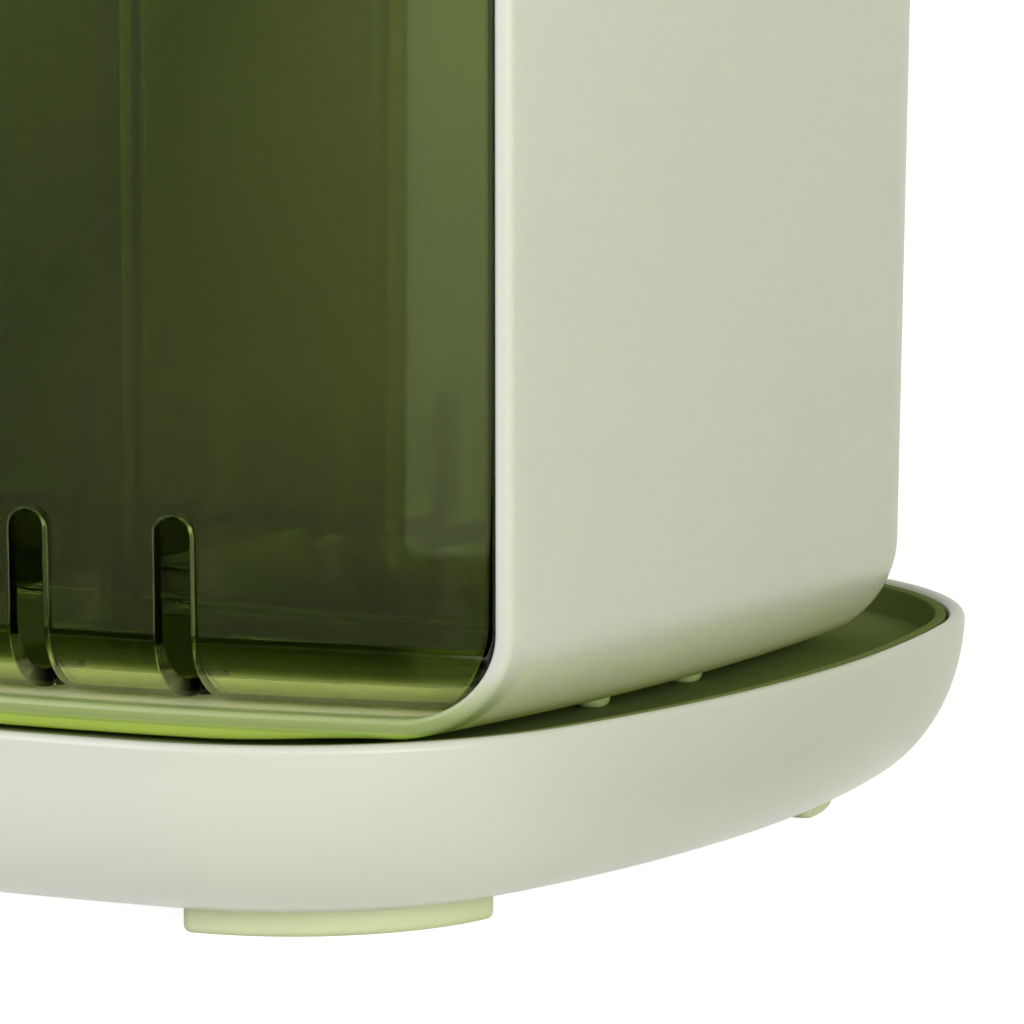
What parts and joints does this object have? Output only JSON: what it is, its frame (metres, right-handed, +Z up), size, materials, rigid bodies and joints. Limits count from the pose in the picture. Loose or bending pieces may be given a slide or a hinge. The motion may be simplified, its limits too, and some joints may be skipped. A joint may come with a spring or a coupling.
{
  "type": "utensil holder with drain tray",
  "caption": "Upright two-bin utensil holder with see-through drained bins and dividers in an open-fronted shell, standing on a slotted plate in a saucer-like drain tray.",
  "frame": {"origin": "on the table under the middle of the tray", "axes": "+Z up, +X to the right along the width, -Y towards the open front of the shell"},
  "size_m": [0.1936, 0.1652, 0.164],
  "materials": {
    "tray": "satin moulded plastic, cream",
    "foot": "moulded plastic, slightly greener cream",
    "plate": "satin dark green plastic",
    "shell": "satin moulded plastic, cream",
    "pad": "pale green plastic",
    "container": "glossy see-through dark green plastic",
    "divider": "glossy see-through dark green plastic"
  },
  "bodies": {
    "tray": {"tray_basin": "tray", "foot_front_right": "foot", "foot_front_left": "foot", "foot_rear_right": "foot", "foot_rear_left": "foot"},
    "plate": {"drain_plate": "plate"},
    "shell": {"holder_shell": "shell", "shell_pad_front_right": "pad", "shell_pad_front_left": "pad", "shell_pad_rear_right": "pad", "shell_pad_rear_left": "pad"},
    "front_bin": {"front_container": "container"},
    "rear_bin": {"rear_container": "container"},
    "front_bin_divider": {"front_divider": "divider"},
    "rear_bin_divider": {"rear_divider": "divider"}
  },
  "joints": [
    {"name": "plate_lift", "type": "slide", "parent": "tray", "child": "plate", "axis": [0, 0, 1], "range_m": [0, 0.05]},
    {"name": "shell_lift", "type": "slide", "parent": "plate", "child": "shell", "axis": [0, 0, 1], "range_m": [0, 0.06]},
    {"name": "front_container_lift", "type": "slide", "parent": "shell", "child": "front_bin", "axis": [0, 0, 1], "range_m": [0, 0.16]},
    {"name": "rear_container_lift", "type": "slide", "parent": "shell", "child": "rear_bin", "axis": [0, 0, 1], "range_m": [0, 0.16]},
    {"name": "front_divider_lift", "type": "slide", "parent": "front_bin", "child": "front_bin_divider", "axis": [0, 0, 1], "range_m": [0, 0.16]},
    {"name": "rear_divider_lift", "type": "slide", "parent": "rear_bin", "child": "rear_bin_divider", "axis": [0, 0, 1], "range_m": [0, 0.16]}
  ]
}
